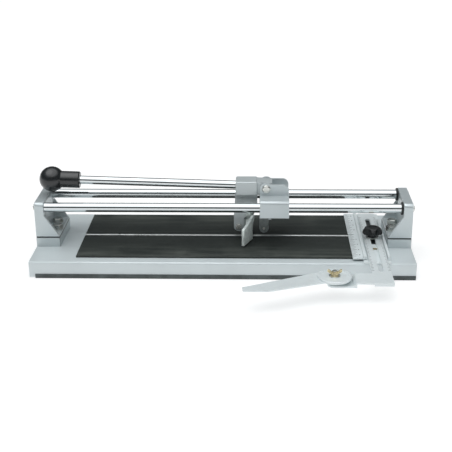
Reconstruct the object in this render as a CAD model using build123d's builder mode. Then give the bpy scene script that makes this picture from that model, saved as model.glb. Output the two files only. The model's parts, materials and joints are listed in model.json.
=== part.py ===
from build123d import *
import os
from math import cos, hypot, radians, sin

os.makedirs("parts", exist_ok=True)

# Manual tile cutter.  Millimetres, +Z up, +X along the rails, +Y to the back.
# The origin lies on the bench, half way along the base, under the scoring line.

# ---------------------------------------------------------------- driving dimensions
BASE_L = 560.0
BASE_D = 202.0
BASE_TOP = 25.0
SHEET = 2.0
BEND_R = 3.0
SKIRT_BOTTOM = 1.5

STRIP_W = 5.0
STRIP_H = 6.5
STRIP_CORNER_R = 1.0
STRIP_LEFT = -271.0
STRIP_RIGHT = 279.5

PAD_LEFT = -213.5
PAD_T = 3.0
PAD_GAP = 6.4
PAD_FRONT = 83.5
PAD_BACK = 90.0
BAR_W = 5.0
BAR_TOP = 29.5
BAR_ROUND = 1.2

RISER_W = 36.0
RISER_H = 14.2
BRACKET_D = 82.0
BRACKET_TOP = 93.8
PLATE_T = 14.0
GASKET_T = 1.4
GASKET_INSET = 0.5
WALL_T = 4.0
GUSSET_TOP = 74.0

RAIL_R = 7.0
RAIL_Y = 32.0
RAIL_Z = 84.5
RAIL_BORE_DEPTH = 9.0
RAIL_SCREW_R = 2.5
RAIL_SCREW_CLEAR_R = 2.8
RAIL_SCREW_HEAD_R = 4.6
RAIL_SCREW_HEAD_H = 2.8
BUMPER_R = 9.5
BUMPER_T = 3.0
JOINT_EASE = 0.8

BOLT_R = 4.0
BOLT_CLEAR_R = 4.2
BOLT_AF = 13.0
BOLT_HEAD_H = 5.3
WASHER_T = 1.6
WASHER_R = 7.8
NUT_H = 6.5
HEAD_EASE = 0.6
BOLT_SPOTS = [(257.0, 15.0), (252.0, -12.0)]

FENCE_LEFT = 189.5
FENCE_RIB_LEFT = 204.5
FENCE_RIGHT = 209.5
FENCE_HALF = 92.0
FENCE_SCREW_R = 1.5
FENCE_FLAT = 29.5
FENCE_RIB_TOP = 32.5
SCALE_T = 0.8

GUIDE_LEFT = 210.0
GUIDE_RIGHT = 243.5
GUIDE_FRONT = -100.5
GUIDE_BACK = 97.0
GUIDE_T = 2.5
RIM_W = 4.2
RIM_TOP = 33.0
RIM_FRONT = -94.0
RIM_BACK = 60.0
STRIP_SLOT_W = 7.0
STRIP_SLOT_FRONT = -32.0
STRIP_SLOT_BACK = 72.0

ARM_X = 225.0
ARM_W = 27.0
ARM_T = 3.0
ARM_FRONT = -181.0
ARM_BACK = 92.0
SLOT_W = 7.5
SLOT_FRONT = -141.0
SLOT_BACK = 68.0
HEAD_LEFT = 187.0
HEAD_BACK = -147.0
HEAD_T = 2.0
TRAY_LEFT = 148.0
TRAY_BOTTOM = 23.2
TRAY_TOP = 25.6
TRAY_CORNER_R = 9.0

CLAMP_Y = -10.0
STUD_R = 3.0
STUD_CLEAR_R = 3.15
CLAMP_WASHER_R = 9.5
CLAMP_WASHER_T = 1.4
KNOB_R = 15.2
KNOB_TOP = 46.5
KNOB_FLAT_R = 7.6
KNOB_RIM_TOP = 40.0
KNOB_RIM_BOTTOM = 36.6
KNOB_HUB_TOP = 35.0
KNOB_HUB_R = 6.8
INSERT_R = 4.8
INSERT_H = 9.0

SWIVEL_X = 158.0
SWIVEL_Y = -164.0
BLADE_BOTTOM = 30.2
BLADE_T = 2.0
DISC_R = 24.0
DISC_T = 2.4
DISH_DEPTH = 0.8
SWIVEL_WASHER_R = 8.0
SWIVEL_WASHER_T = 1.2
SPACER_R = 9.0
BOLT_HEAD_R = 7.0

SADDLE_LEFT = 55.0
SADDLE_RIGHT = 98.0
APRON_Y = 45.0
APRON_T = 3.5
APRON_BOTTOM = 73.0
SHELF_TOP = 98.5
SHELF_T = 4.0
EAR_IN = 12.5
EAR_OUT = 16.5
EAR_TOP = 115.2
PIVOT_X = 64.5
PIVOT_Z = 108.5
PIN_R = 4.0
PIN_HEAD_R = 6.3
BUSH_R = 5.5
KNUCKLE_R = 9.0
TONGUE_TOP = 118.0
RUNNING = 0.06

WHEEL_X = 61.3
WHEEL_Z = 41.3
WHEEL_R = 7.6
WHEEL_T = 2.0
AXLE_R = 2.0
HOLDER_W = 13.6
HOLDER_D = 10.0
HOLDER_END_R = 6.6

LEVER_LEFT = 18.7
LEVER_RIGHT = 51.0
LEVER_BOTTOM = 99.0
LEVER_TOP = 119.0
LEVER_HALF = 15.0
LEG_HALF = 9.0
ROD_R = 6.25
ROD_X = 17.5
ROD_Z = 110.0
ROD_TILT = 1.75
ROD_IN = 26.0
BALL_R = 19.0
BALL_S = 276.0
SHANK_R = 12.6
SHANK_S = 233.5

LUG_X = 23.3
LUG_Z = 46.4
LUG_R = 7.5
FORK_HALF = 4.0
TONGUE_HALF = 3.7
FOOT_BOTTOM = 30.0
FOOT_APEX_X = 49.5
FOOT_TIP = (30.2, -48.5)
FOOT_T = 4.0
FOOT_TIP_TOP = 55.0
FOOT_INNER = 19.0
FOOT_BRIDGE_HALF = 24.0

# ---------------------------------------------------------------- derived values
HALF_L = BASE_L / 2
HALF_D = BASE_D / 2
RISER_TOP = BASE_TOP + RISER_H
SEAT_TOP = RISER_TOP + GASKET_T
FLOOR_TOP = RISER_TOP + WALL_T
PLATE_IN = HALF_L - PLATE_T
RISER_IN = HALF_L - RISER_W
PAD_TOP = BASE_TOP + PAD_T
GUIDE_TOP = BASE_TOP + GUIDE_T
ARM_TOP = GUIDE_TOP + ARM_T
RAIL_END = PLATE_IN + RAIL_BORE_DEPTH - 0.5
BLADE_TOP = BLADE_BOTTOM + BLADE_T
DISC_TOP = BLADE_TOP + DISC_T
SCALE_TOP = FENCE_FLAT + SCALE_T


def write_piece(builder, name):
    """Label a finished piece and write it as parts/NAME.step."""
    builder.part.label = name
    export_step(builder.part, f"parts/{name}.step")


def block(x0, x1, y0, y1, z0, z1, mode=Mode.ADD):
    """A box given by its two corners, for use inside a BuildPart."""
    with Locations(((x0 + x1) / 2, (y0 + y1) / 2, (z0 + z1) / 2)):
        Box(x1 - x0, y1 - y0, z1 - z0, mode=mode)


def outline(points):
    """A closed straight-sided face on the current sketch plane."""
    Polygon(*points, align=None)


def along_x(x):
    """Plane facing +X at x, with sketch axes Y and Z."""
    return Plane(origin=(x, 0, 0), x_dir=(0, 1, 0), z_dir=(1, 0, 0))


def along_y(y):
    """Plane facing -Y at y, with sketch axes X and Z."""
    return Plane(origin=(0, y, 0), x_dir=(1, 0, 0), z_dir=(0, -1, 0))


def both_ends(spots):
    """The same spots at the right and, mirrored, at the left end of the base."""
    return [(side * x, y) for side in (-1, 1) for x, y in spots]


# ---------------------------------------------------------------- base and its trims
GUIDE_SCREWS = [(ARM_X, -50.0), (ARM_X - 9.0, 52.0)]
FENCE_SCREWS = [((FENCE_RIB_LEFT + FENCE_RIGHT) / 2, y) for y in (-70.0, 70.0)]
SCREW_R = 2.0
SCREW_CLEAR_R = 2.1


def make_base_plate():
    """Sheet-steel channel: flat top with a skirt folded down at front and back."""
    with BuildPart() as base_plate:
        with BuildSketch(along_x(-HALF_L)):
            outline([(-HALF_D, SKIRT_BOTTOM), (-HALF_D, BASE_TOP), (HALF_D, BASE_TOP),
                     (HALF_D, SKIRT_BOTTOM), (HALF_D - SHEET, SKIRT_BOTTOM),
                     (HALF_D - SHEET, BASE_TOP - SHEET), (SHEET - HALF_D, BASE_TOP - SHEET),
                     (SHEET - HALF_D, SKIRT_BOTTOM)])
        extrude(amount=BASE_L)
        long_edges = base_plate.edges().filter_by(Axis.X)
        fillet(long_edges.group_by(Axis.Z)[-1], radius=BEND_R)
        inner = base_plate.edges().filter_by(Axis.X).filter_by_position(
            Axis.Z, BASE_TOP - SHEET - 0.01, BASE_TOP - SHEET + 0.01)
        fillet(inner, radius=BEND_R - SHEET)
        with Locations(*[(x, y, BASE_TOP) for x, y in both_ends(BOLT_SPOTS)]):
            Hole(radius=BOLT_CLEAR_R)
        with Locations((ARM_X, CLAMP_Y, BASE_TOP)):
            Hole(radius=STUD_CLEAR_R)
        with Locations(*[(x, y, BASE_TOP) for x, y in GUIDE_SCREWS + FENCE_SCREWS]):
            Hole(radius=SCREW_CLEAR_R)
    write_piece(base_plate, "base_plate")


def make_edge_strip(name, side):
    """Rubber U-trim pushed over the lower edge of a skirt, which the tool stands on."""
    middle = side * (HALF_D - SHEET / 2)
    with BuildPart() as strip:
        with BuildSketch(along_x(STRIP_LEFT)):
            with Locations((middle, STRIP_H / 2)):
                RectangleRounded(STRIP_W, STRIP_H, STRIP_CORNER_R)
            with Locations((middle, (SKIRT_BOTTOM + STRIP_H) / 2)):
                Rectangle(SHEET, STRIP_H - SKIRT_BOTTOM, mode=Mode.SUBTRACT)
        extrude(amount=STRIP_RIGHT - STRIP_LEFT)
    write_piece(strip, name)


def make_pad(name, side, reach):
    """Flat rubber pad glued to the base, with its top edges eased."""
    near, far = sorted((side * PAD_GAP / 2, side * reach))
    with BuildPart() as pad:
        block(PAD_LEFT, FENCE_RIGHT, near, far, BASE_TOP, PAD_TOP)
        chamfer(pad.faces().sort_by(Axis.Z)[-1].edges(), length=0.5)
        with Locations(*[(x, y, PAD_TOP) for x, y in FENCE_SCREWS if y * side > 0]):
            Hole(radius=SCREW_CLEAR_R)
    write_piece(pad, name)


def make_snapping_bar():
    """Steel strip on the scoring line, a little proud of the pads."""
    with BuildPart() as bar:
        block(PAD_LEFT + 1, FENCE_LEFT - 0.3, -BAR_W / 2, BAR_W / 2, BASE_TOP, BAR_TOP)
        top = bar.edges().filter_by(Axis.X).group_by(Axis.Z)[-1]
        fillet(top, radius=BAR_ROUND)
    write_piece(bar, "snapping_bar")


# ---------------------------------------------------------------- end brackets
def make_riser(name, side):
    """Spacer block between the base and a bracket."""
    x0, x1 = sorted((side * RISER_IN, side * HALF_L))
    with BuildPart() as riser:
        block(x0, x1, -BRACKET_D / 2, BRACKET_D / 2, BASE_TOP, RISER_TOP)
        chamfer(riser.edges().filter_by(Axis.Z), length=JOINT_EASE)
        chamfer(riser.edges().group_by(Axis.Z)[-1], length=JOINT_EASE)
        with Locations(*[(side * x, y, RISER_TOP) for x, y in BOLT_SPOTS]):
            Hole(radius=BOLT_CLEAR_R)
    write_piece(riser, name)


def make_gaskets():
    """Black gaskets between the risers and the brackets, a little smaller than both."""
    half = BRACKET_D / 2 - GASKET_INSET
    with BuildPart() as gaskets:
        for side in (-1, 1):
            x0, x1 = sorted((side * (RISER_IN + GASKET_INSET), side * (HALF_L - GASKET_INSET)))
            block(x0, x1, -half, half, RISER_TOP, SEAT_TOP)
        with Locations(*[(x, y, SEAT_TOP) for x, y in both_ends(BOLT_SPOTS)]):
            Hole(radius=BOLT_CLEAR_R, depth=GASKET_T)
    write_piece(gaskets, "bracket_gaskets")


def make_bracket(name, side):
    """Cast end bracket: thick outer plate, floor flange and two triangular walls."""
    half = BRACKET_D / 2
    x0, x1 = sorted((side * PLATE_IN, side * HALF_L))
    slope = (PLATE_IN - RISER_IN) / (GUSSET_TOP - SEAT_TOP)
    wall = [(side * PLATE_IN, GUSSET_TOP), (side * PLATE_IN, SEAT_TOP), (side * RISER_IN, SEAT_TOP)]
    floor = [(side * PLATE_IN, SEAT_TOP), (side * PLATE_IN, FLOOR_TOP),
             (side * (RISER_IN + slope * (FLOOR_TOP - SEAT_TOP)), FLOOR_TOP), (side * RISER_IN, SEAT_TOP)]
    outer = Plane(origin=(side * HALF_L, 0, 0), x_dir=(0, 1, 0), z_dir=(side, 0, 0))
    inner = Plane(origin=(side * PLATE_IN, 0, 0), x_dir=(0, 1, 0), z_dir=(-side, 0, 0))
    rails = [(-RAIL_Y, side * RAIL_Z), (RAIL_Y, side * RAIL_Z)]
    with BuildPart() as bracket:
        block(x0, x1, -half, half, SEAT_TOP, BRACKET_TOP)
        upper = bracket.edges().filter_by(Axis.X).group_by(Axis.Z)[-1]
        fillet(upper, radius=6.0)
        for profile, back, depth in ((floor, half, BRACKET_D), (wall, half, WALL_T),
                                     (wall, WALL_T - half, WALL_T)):
            with BuildSketch(along_y(back)):
                outline(profile)
            extrude(amount=depth)
        with Locations(*[outer * Location((y, z)) for y, z in rails]):
            Hole(radius=RAIL_SCREW_CLEAR_R, depth=PLATE_T)
        with Locations(*[inner * Location((y, -z)) for y, z in rails]):
            Hole(radius=RAIL_R + 0.03, depth=RAIL_BORE_DEPTH)
        with Locations(*[(side * x, y, FLOOR_TOP) for x, y in BOLT_SPOTS]):
            Hole(radius=BOLT_CLEAR_R, depth=FLOOR_TOP - SEAT_TOP)
    write_piece(bracket, name)


def make_rail(name, y):
    """Chromed round rail, tapped at both ends for its fixing screws."""
    with BuildPart() as rail:
        with BuildSketch(along_x(-RAIL_END)):
            with Locations((y, RAIL_Z)):
                Circle(RAIL_R)
        extrude(amount=2 * RAIL_END)
        chamfer(rail.edges().filter_by(GeomType.CIRCLE), length=0.6)
        for side in (-1, 1):
            end = Plane(origin=(side * RAIL_END, y, RAIL_Z), z_dir=(side, 0, 0))
            with Locations(end.location):
                Hole(radius=RAIL_SCREW_R + 0.05, depth=14.0)
    write_piece(rail, name)


def make_rail_end_screws():
    """Four button-head screws that pull the rails into the brackets."""
    tip = RAIL_END - 12.0
    with BuildPart() as screws:
        for side in (-1, 1):
            spots = [(-RAIL_Y, side * RAIL_Z), (RAIL_Y, side * RAIL_Z)]
            seat = Plane(origin=(side * HALF_L, 0, 0), x_dir=(0, 1, 0), z_dir=(side, 0, 0))
            with BuildSketch(seat):
                with Locations(*spots):
                    Circle(RAIL_SCREW_HEAD_R)
            extrude(amount=RAIL_SCREW_HEAD_H)
            with BuildSketch(seat):
                with Locations(*spots):
                    Circle(RAIL_SCREW_R)
            extrude(amount=tip - HALF_L)
        crowns = screws.edges().filter_by(GeomType.CIRCLE).filter_by(
            lambda edge: abs(edge.center().X) > HALF_L + 1.0)
        fillet(crowns, radius=1.6)
        for side in (-1, 1):
            spots = [(-RAIL_Y, side * RAIL_Z), (RAIL_Y, side * RAIL_Z)]
            crown = Plane(origin=(side * (HALF_L + RAIL_SCREW_HEAD_H), 0, 0), x_dir=(0, 1, 0),
                          z_dir=(side, 0, 0))
            with BuildSketch(crown):
                with Locations(*spots):
                    RegularPolygon(radius=1.6, side_count=6, major_radius=False)
            extrude(amount=-1.6, mode=Mode.SUBTRACT)
    write_piece(screws, "rail_end_screws")


def make_rail_bumpers():
    """Rubber rings on the rails against the right bracket, which stop the carriage."""
    with BuildPart() as bumpers:
        for y in (-RAIL_Y, RAIL_Y):
            with BuildSketch(along_x(PLATE_IN - BUMPER_T)):
                with Locations((y, RAIL_Z)):
                    Circle(BUMPER_R)
                    Circle(RAIL_R + 0.03, mode=Mode.SUBTRACT)
            extrude(amount=BUMPER_T)
        fillet(bumpers.edges().filter_by(GeomType.CIRCLE).filter_by(
            lambda edge: edge.radius > RAIL_R + 1.0), radius=0.6)
    write_piece(bumpers, "rail_bumpers")


# ---------------------------------------------------------------- bracket fasteners
def make_bracket_fasteners():
    """Hex bolts, washers and nuts that clamp each bracket and riser to the base."""
    spots = both_ends(BOLT_SPOTS)
    seat = FLOOR_TOP + WASHER_T
    shank_bottom = BASE_TOP - SHEET - WASHER_T - NUT_H - 2.0
    with BuildPart() as bolts:
        with BuildSketch(Plane.XY.offset(seat)):
            with Locations(*spots):
                RegularPolygon(radius=BOLT_AF / 2, side_count=6, major_radius=False)
        extrude(amount=BOLT_HEAD_H)
        chamfer(bolts.edges().group_by(Axis.Z)[-1], length=HEAD_EASE)
        with BuildSketch(Plane.XY.offset(seat)):
            with Locations(*spots):
                Circle(BOLT_R - 0.05)
        extrude(amount=shank_bottom - seat)
    write_piece(bolts, "bracket_bolts")

    for name, bottom in (("bracket_washers", FLOOR_TOP),
                         ("base_washers", BASE_TOP - SHEET - WASHER_T)):
        with BuildPart() as washers:
            with BuildSketch(Plane.XY.offset(bottom)):
                with Locations(*spots):
                    Circle(WASHER_R)
                    Circle(BOLT_CLEAR_R, mode=Mode.SUBTRACT)
            extrude(amount=WASHER_T)
        write_piece(washers, name)

    with BuildPart() as nuts:
        with BuildSketch(Plane.XY.offset(BASE_TOP - SHEET - WASHER_T)):
            with Locations(*spots):
                RegularPolygon(radius=BOLT_AF / 2, side_count=6, major_radius=False)
                Circle(BOLT_R, mode=Mode.SUBTRACT)
        extrude(amount=-NUT_H)
    write_piece(nuts, "base_nuts")


# ---------------------------------------------------------------- end fence and its guide
NOTCH_L = 9.0
NOTCH_W = 2.4


def make_end_fence():
    """Flat bar with a raised rib; tiles butt against its left side."""
    with BuildPart() as fence:
        with BuildSketch(along_y(FENCE_HALF)):
            outline([(FENCE_LEFT, PAD_TOP), (FENCE_RIGHT, PAD_TOP),
                     (FENCE_RIGHT, FENCE_RIB_TOP), (FENCE_RIB_LEFT, FENCE_RIB_TOP),
                     (FENCE_RIB_LEFT, FENCE_FLAT), (FENCE_LEFT, FENCE_FLAT)])
        extrude(amount=2 * FENCE_HALF)
        rib_top = fence.edges().filter_by(Axis.Y).group_by(Axis.Z)[-1]
        fillet(rib_top, radius=1.4)
        block(FENCE_LEFT, FENCE_LEFT + NOTCH_L, -NOTCH_W / 2, NOTCH_W / 2,
              PAD_TOP, FENCE_FLAT, mode=Mode.SUBTRACT)
        for x, y in FENCE_SCREWS:
            with Locations(Plane(origin=(x, y, PAD_TOP), z_dir=(0, 0, -1)).location):
                Hole(radius=FENCE_SCREW_R + 0.05, depth=3.4)
    write_piece(fence, "end_fence")


def make_scale_plate():
    """Thin graduated plate on the flat of the end fence, notched at the scoring line."""
    with BuildPart() as plate:
        block(FENCE_LEFT, FENCE_RIB_LEFT - 0.2, 0.5 - FENCE_HALF, FENCE_HALF - 0.5,
              FENCE_FLAT, SCALE_TOP)
        block(FENCE_LEFT, FENCE_LEFT + NOTCH_L, -NOTCH_W / 2, NOTCH_W / 2,
              FENCE_FLAT, SCALE_TOP, mode=Mode.SUBTRACT)
    write_piece(plate, "scale_plate")


def make_fence_guide():
    """Plate on the base that the fence arm slides on, and the black strip in its slot."""
    with BuildPart() as guide:
        block(GUIDE_LEFT, GUIDE_RIGHT, GUIDE_FRONT, GUIDE_BACK, BASE_TOP, GUIDE_TOP)
        block(FENCE_RIB_LEFT, GUIDE_LEFT, GUIDE_FRONT, -FENCE_HALF - 1.0, BASE_TOP, GUIDE_TOP)
        block(GUIDE_RIGHT - RIM_W, GUIDE_RIGHT, RIM_FRONT, RIM_BACK, GUIDE_TOP, RIM_TOP)
        rim_top = guide.edges().filter_by(Axis.Y).group_by(Axis.Z)[-1]
        fillet(rim_top, radius=1.5)
        block(ARM_X - STRIP_SLOT_W / 2, ARM_X + STRIP_SLOT_W / 2, STRIP_SLOT_FRONT, STRIP_SLOT_BACK,
              BASE_TOP, GUIDE_TOP, mode=Mode.SUBTRACT)
        with Locations(*[(x, y, GUIDE_TOP) for x, y in GUIDE_SCREWS]):
            CounterSinkHole(radius=SCREW_CLEAR_R, counter_sink_radius=4.1,
                            counter_sink_angle=90)
    write_piece(guide, "fence_guide")

    with BuildPart() as strip:
        block(ARM_X - STRIP_SLOT_W / 2, ARM_X + STRIP_SLOT_W / 2, STRIP_SLOT_FRONT, STRIP_SLOT_BACK,
              BASE_TOP, GUIDE_TOP - 1.0)
        with Locations((ARM_X, CLAMP_Y, GUIDE_TOP - 1.0)):
            Hole(radius=STUD_CLEAR_R)
    write_piece(strip, "guide_strip")


def make_small_screws():
    """Guide screws from above, fence screws from below."""
    with BuildPart() as guide_screws:
        for x, y in GUIDE_SCREWS:
            top = GUIDE_TOP - 0.1
            with BuildSketch(Plane(origin=(x, y, 0), x_dir=(1, 0, 0), z_dir=(0, -1, 0))):
                outline([(0, top), (4.0, top), (SCREW_R, top - 2.0), (SCREW_R, 17.0), (0, 17.0)])
            revolve(axis=Axis((x, y, 0), (0, 0, 1)))
            block(x - 3.0, x + 3.0, y - 0.4, y + 0.4, top - 0.8, top, mode=Mode.SUBTRACT)
    write_piece(guide_screws, "guide_screws")

    under = BASE_TOP - SHEET
    with BuildPart() as fence_screws:
        with BuildSketch(Plane.XY.offset(under)):
            with Locations(*FENCE_SCREWS):
                Circle(3.8)
        extrude(amount=-2.4)
        fillet(fence_screws.edges().group_by(Axis.Z)[0], radius=0.9)
        with BuildSketch(Plane.XY.offset(under)):
            with Locations(*FENCE_SCREWS):
                Circle(FENCE_SCREW_R)
        extrude(amount=PAD_TOP + 3.0 - under)
    write_piece(fence_screws, "fence_screws")


def make_clamp():
    """Carriage bolt, washer, threaded insert and star knob that lock the fence arm."""
    under = BASE_TOP - SHEET
    with BuildPart() as clamp_bolt:
        with BuildSketch(Plane.XY.offset(under)):
            with Locations((ARM_X, CLAMP_Y)):
                Circle(BOLT_HEAD_R)
        extrude(amount=-3.0)
        fillet(clamp_bolt.edges().group_by(Axis.Z)[0], radius=2.0)
        with BuildSketch(Plane.XY.offset(under)):
            with Locations((ARM_X, CLAMP_Y)):
                Circle(STUD_R)
        extrude(amount=KNOB_TOP - 5.0 - under)
    write_piece(clamp_bolt, "clamp_bolt")

    washer_top = ARM_TOP + CLAMP_WASHER_T
    with BuildPart() as clamp_washer:
        with BuildSketch(Plane.XY.offset(ARM_TOP)):
            with Locations((ARM_X, CLAMP_Y)):
                Circle(CLAMP_WASHER_R)
                Circle(STUD_CLEAR_R, mode=Mode.SUBTRACT)
        extrude(amount=CLAMP_WASHER_T)
    write_piece(clamp_washer, "clamp_washer")

    with BuildPart() as knob_insert:
        with BuildSketch(Plane.XY.offset(washer_top)):
            with Locations((ARM_X, CLAMP_Y)):
                Circle(INSERT_R)
                Circle(STUD_R + RUNNING, mode=Mode.SUBTRACT)
        extrude(amount=INSERT_H)
    write_piece(knob_insert, "knob_insert")

    shoulder = ((KNOB_FLAT_R + KNOB_R) / 2 + 1.2, (KNOB_TOP + KNOB_RIM_TOP) / 2 + 1.4)
    with BuildPart() as knob:
        with BuildSketch(Plane(origin=(ARM_X, CLAMP_Y, 0), x_dir=(1, 0, 0), z_dir=(0, -1, 0))):
            with BuildLine():
                Polyline((KNOB_FLAT_R, KNOB_TOP), (0, KNOB_TOP), (0, washer_top),
                         (KNOB_HUB_R, washer_top), (KNOB_HUB_R, KNOB_HUB_TOP),
                         (KNOB_R - 1, KNOB_RIM_BOTTOM), (KNOB_R, KNOB_RIM_BOTTOM + 1),
                         (KNOB_R, KNOB_RIM_TOP))
                ThreePointArc((KNOB_R, KNOB_RIM_TOP), shoulder, (KNOB_FLAT_R, KNOB_TOP))
            make_face()
        revolve(axis=Axis((ARM_X, CLAMP_Y, 0), (0, 0, 1)))
        with BuildSketch(Plane.XY.offset(KNOB_TOP)):
            with Locations((ARM_X, CLAMP_Y)):
                with PolarLocations(KNOB_R + 2.2, 5, start_angle=90):
                    Circle(7.4)
        extrude(amount=washer_top - KNOB_TOP, mode=Mode.SUBTRACT)
        with Locations((ARM_X, CLAMP_Y, KNOB_TOP)):
            Hole(radius=KNOB_FLAT_R - 1.2, depth=0.8)
        under_knob = Plane(origin=(ARM_X, CLAMP_Y, washer_top), z_dir=(0, 0, -1))
        with Locations(under_knob.location):
            Hole(radius=INSERT_R, depth=INSERT_H)
            Hole(radius=STUD_R + 0.3, depth=INSERT_H + 1.5)
    write_piece(knob, "clamp_knob")


# ---------------------------------------------------------------- sliding arm and angle guide
def make_fence_arm():
    """L-shaped arm: slotted strip, head, and a lower tray that carries the angle guide."""
    x0 = ARM_X - ARM_W / 2
    x1 = ARM_X + ARM_W / 2
    with BuildPart() as arm:
        with BuildSketch(Plane.XY.offset(GUIDE_TOP)):
            with Locations((ARM_X, (ARM_FRONT + ARM_BACK) / 2)):
                Rectangle(ARM_W, ARM_BACK - ARM_FRONT)
            with Locations((ARM_X, (SLOT_FRONT + SLOT_BACK) / 2)):
                SlotOverall(SLOT_BACK - SLOT_FRONT, SLOT_W, rotation=90, mode=Mode.SUBTRACT)
        extrude(amount=ARM_T)
        back_corners = arm.edges().filter_by(Axis.Z).group_by(Axis.Y)[-1]
        fillet(back_corners, radius=3.0)
        with BuildSketch(along_y(HEAD_BACK)):
            outline([(TRAY_LEFT, TRAY_BOTTOM), (HEAD_LEFT + 1, TRAY_BOTTOM),
                     (HEAD_LEFT + 1, ARM_TOP - HEAD_T), (x0, ARM_TOP - HEAD_T), (x0, ARM_TOP),
                     (HEAD_LEFT, ARM_TOP), (HEAD_LEFT - 5, TRAY_TOP), (TRAY_LEFT, TRAY_TOP)])
        extrude(amount=HEAD_BACK - ARM_FRONT)
        tray_corners = arm.edges().filter_by(Axis.Z).group_by(Axis.X)[0]
        fillet(tray_corners, radius=TRAY_CORNER_R)
        block(x0, x1, ARM_FRONT, ARM_FRONT + 2.5, GUIDE_TOP - 1.7, GUIDE_TOP)
        with Locations((SWIVEL_X, SWIVEL_Y, TRAY_TOP)):
            Hole(radius=STUD_CLEAR_R)
    write_piece(arm, "fence_arm")


def make_swivel_stack():
    """Carriage bolt and spacer of the arm, then the washer that turns with the guide."""
    with BuildPart() as swivel_bolt:
        with BuildSketch(Plane.XY.offset(TRAY_BOTTOM)):
            with Locations((SWIVEL_X, SWIVEL_Y)):
                Circle(BOLT_HEAD_R)
        extrude(amount=-2.6)
        fillet(swivel_bolt.edges().group_by(Axis.Z)[0], radius=1.8)
        with BuildSketch(Plane.XY.offset(TRAY_BOTTOM)):
            with Locations((SWIVEL_X, SWIVEL_Y)):
                Circle(STUD_R)
        extrude(amount=DISC_TOP + 7.5 - TRAY_BOTTOM)
    write_piece(swivel_bolt, "swivel_bolt")

    with BuildPart() as hub_spacer:
        with BuildSketch(Plane.XY.offset(TRAY_TOP)):
            with Locations((SWIVEL_X, SWIVEL_Y)):
                Circle(SPACER_R)
                Circle(STUD_CLEAR_R, mode=Mode.SUBTRACT)
        extrude(amount=BLADE_BOTTOM - TRAY_TOP)
    write_piece(hub_spacer, "hub_spacer")

    with BuildPart() as swivel_washer:
        with BuildSketch(Plane.XY.offset(DISC_TOP - DISH_DEPTH)):
            with Locations((SWIVEL_X, SWIVEL_Y)):
                Circle(SWIVEL_WASHER_R)
                Circle(STUD_R + RUNNING, mode=Mode.SUBTRACT)
        extrude(amount=SWIVEL_WASHER_T)
    write_piece(swivel_washer, "swivel_washer")


def make_angle_guide():
    """Tapered blade with a round root, and the dished disc on top of it."""
    with BuildPart() as blade:
        with BuildSketch(Plane.XY.offset(BLADE_BOTTOM)):
            outline([(31.3, -199.7), (33.2, -211.2), (66.5, -211.2), (129.6, -187.7),
                     (168.0, -173.4), (150.0, -141.8)])
            with Locations((SWIVEL_X, SWIVEL_Y)):
                Circle(DISC_R - 1.0)
        extrude(amount=BLADE_T)
        with Locations((SWIVEL_X, SWIVEL_Y, BLADE_TOP)):
            Hole(radius=STUD_R + RUNNING)
    write_piece(blade, "angle_blade")

    with BuildPart() as disc:
        with BuildSketch(Plane.XY.offset(BLADE_TOP)):
            with Locations((SWIVEL_X, SWIVEL_Y)):
                Circle(DISC_R)
        extrude(amount=DISC_T)
        fillet(disc.edges().group_by(Axis.Z)[-1], radius=1.2)
        with Locations((SWIVEL_X, SWIVEL_Y, DISC_TOP)):
            Hole(radius=DISC_R - 3.5, depth=DISH_DEPTH)
            Hole(radius=STUD_R + RUNNING, depth=DISC_T)
    write_piece(disc, "angle_disc")


def make_wing_nut():
    """Cast wing nut: conical hub with two upswept wings."""
    seat = DISC_TOP - DISH_DEPTH + SWIVEL_WASHER_T
    span = 10.2
    hub_h = 6.0
    wing_t = 2.0
    with BuildPart() as nut:
        with BuildSketch(Plane(origin=(SWIVEL_X, SWIVEL_Y, seat), x_dir=(1, 0, 0),
                               z_dir=(0, -1, 0))):
            outline([(0, 0), (5.2, 0), (4.0, hub_h), (0, hub_h)])
        revolve(axis=Axis((SWIVEL_X, SWIVEL_Y, 0), (0, 0, 1)))
        wing = [(2.0, 0.8), (5.0, 1.2), (span, 5.6), (span - 0.6, 8.8), (span - 3.0, 8.2),
                (3.6, 4.6), (2.0, 4.6)]
        for side in (-1, 1):
            face = Plane(origin=(SWIVEL_X, SWIVEL_Y - wing_t / 2, seat), x_dir=(1, 0, 0),
                         z_dir=(0, -1, 0))
            with BuildSketch(face):
                outline([(side * x, z) for x, z in wing])
            extrude(amount=-wing_t)
        with Locations((SWIVEL_X, SWIVEL_Y, seat + hub_h)):
            Hole(radius=STUD_R + RUNNING)
    write_piece(nut, "wing_nut")


# ---------------------------------------------------------------- carriage
TAB_RIGHT = 72.5
TAB_BOTTOM = 56.5
TAB_HALF = 7.0
HOLDER_RIGHT = WHEEL_X + HOLDER_W / 2
HOLDER_SCREW_Z = [62.0, 72.0]


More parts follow.
